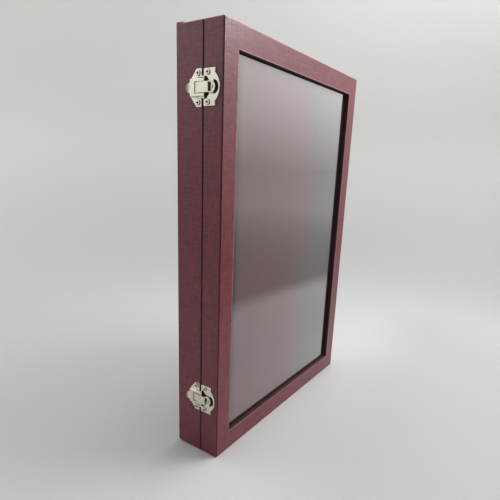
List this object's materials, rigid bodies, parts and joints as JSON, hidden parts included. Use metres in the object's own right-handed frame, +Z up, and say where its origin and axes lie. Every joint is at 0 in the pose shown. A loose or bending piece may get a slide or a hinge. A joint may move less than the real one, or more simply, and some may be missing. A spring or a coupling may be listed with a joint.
{
  "type": "ring display box",
  "caption": "Flat upright display case for rings: hinged window lid, two toggle latches and padded rolls that hold rings.",
  "frame": {"origin": "middle of the lower short end, on the surface that the box stands on", "axes": "+Z up along the long sides, +X from the latch side to the hinge side, +Y from the window face to the back"},
  "size_m": [0.2481, 0.045, 0.351],
  "materials": {
    "leatherette": "maroon linen-embossed leatherette with a satin sheen",
    "board": "bare fibre board, hidden under the covering",
    "dark_board": "fibre board stained dark, behind the window frame",
    "pane": "clear polished pane",
    "tray_lining": "short-pile wine velvet on card",
    "velvet": "wine velvet over foam",
    "nickel": "bright nickel plate, slightly warm"
  },
  "bodies": {
    "base": {"base_board_top": "board", "base_cover_top": "leatherette", "base_board_bottom": "board", "base_cover_bottom": "leatherette", "base_board_latch": "board", "base_cover_latch": "leatherette", "base_board_hinge": "board", "base_cover_hinge": "leatherette", "back_board": "board", "back_cover": "leatherette", "tray_floor": "tray_lining", "ring_roll_1": "velvet", "ring_roll_2": "velvet", "ring_roll_3": "velvet", "ring_roll_4": "velvet", "ring_roll_5": "velvet", "ring_roll_6": "velvet", "ring_roll_7": "velvet", "ring_roll_8": "velvet", "ring_roll_9": "velvet", "latch_base_plate_top": "nickel", "hinge_base_leaf_top": "nickel", "latch_base_plate_bottom": "nickel", "hinge_base_leaf_bottom": "nickel", "latch_pivot_pins": "nickel", "hinge_pins": "nickel", "latch_base_screws": "nickel", "hinge_base_screws": "nickel"},
    "lid": {"lid_board_top": "board", "lid_cover_top": "leatherette", "lid_rail_top": "dark_board", "pane_bead_top": "dark_board", "lid_board_bottom": "board", "lid_cover_bottom": "leatherette", "lid_rail_bottom": "dark_board", "pane_bead_bottom": "dark_board", "lid_board_latch": "board", "lid_cover_latch": "leatherette", "lid_rail_latch": "dark_board", "pane_bead_latch": "dark_board", "lid_board_hinge": "board", "lid_cover_hinge": "leatherette", "lid_rail_hinge": "dark_board", "pane_bead_hinge": "dark_board", "lid_front_cover": "leatherette", "window_pane": "pane", "latch_catch_plate_top": "nickel", "hinge_lid_leaf_top": "nickel", "latch_catch_plate_bottom": "nickel", "hinge_lid_leaf_bottom": "nickel", "latch_catch_screws": "nickel", "hinge_lid_screws": "nickel"},
    "lever_top": {"latch_lever_top": "nickel", "latch_link_pin_top": "nickel"},
    "link_top": {"latch_link_top": "nickel"},
    "lever_bottom": {"latch_lever_bottom": "nickel", "latch_link_pin_bottom": "nickel"},
    "link_bottom": {"latch_link_bottom": "nickel"}
  },
  "joints": [
    {"name": "lid_hinge", "type": "hinge", "parent": "base", "child": "lid", "pos_m": [0.1219, -0.0042, 0.175], "axis": [0, 0, 1], "range_deg": [0, 180]},
    {"name": "latch_top_lever", "type": "hinge", "parent": "base", "child": "lever_top", "pos_m": [-0.1222, -0.0063, 0.305], "axis": [0, 0, 1], "range_deg": [0, 110]},
    {"name": "latch_top_link", "type": "hinge", "parent": "lever_top", "child": "link_top", "pos_m": [-0.1218, 0.0008, 0.305], "axis": [0, 0, 1], "range_deg": [-88, 0]},
    {"name": "latch_bottom_lever", "type": "hinge", "parent": "base", "child": "lever_bottom", "pos_m": [-0.1222, -0.0063, 0.054], "axis": [0, 0, 1], "range_deg": [0, 110]},
    {"name": "latch_bottom_link", "type": "hinge", "parent": "lever_bottom", "child": "link_bottom", "pos_m": [-0.1218, 0.0008, 0.054], "axis": [0, 0, 1], "range_deg": [-88, 0]}
  ],
  "couplings": [
    {"joint": "latch_top_link", "follows": "latch_top_lever", "ratio": -0.8},
    {"joint": "latch_bottom_link", "follows": "latch_bottom_lever", "ratio": -0.8}
  ]
}
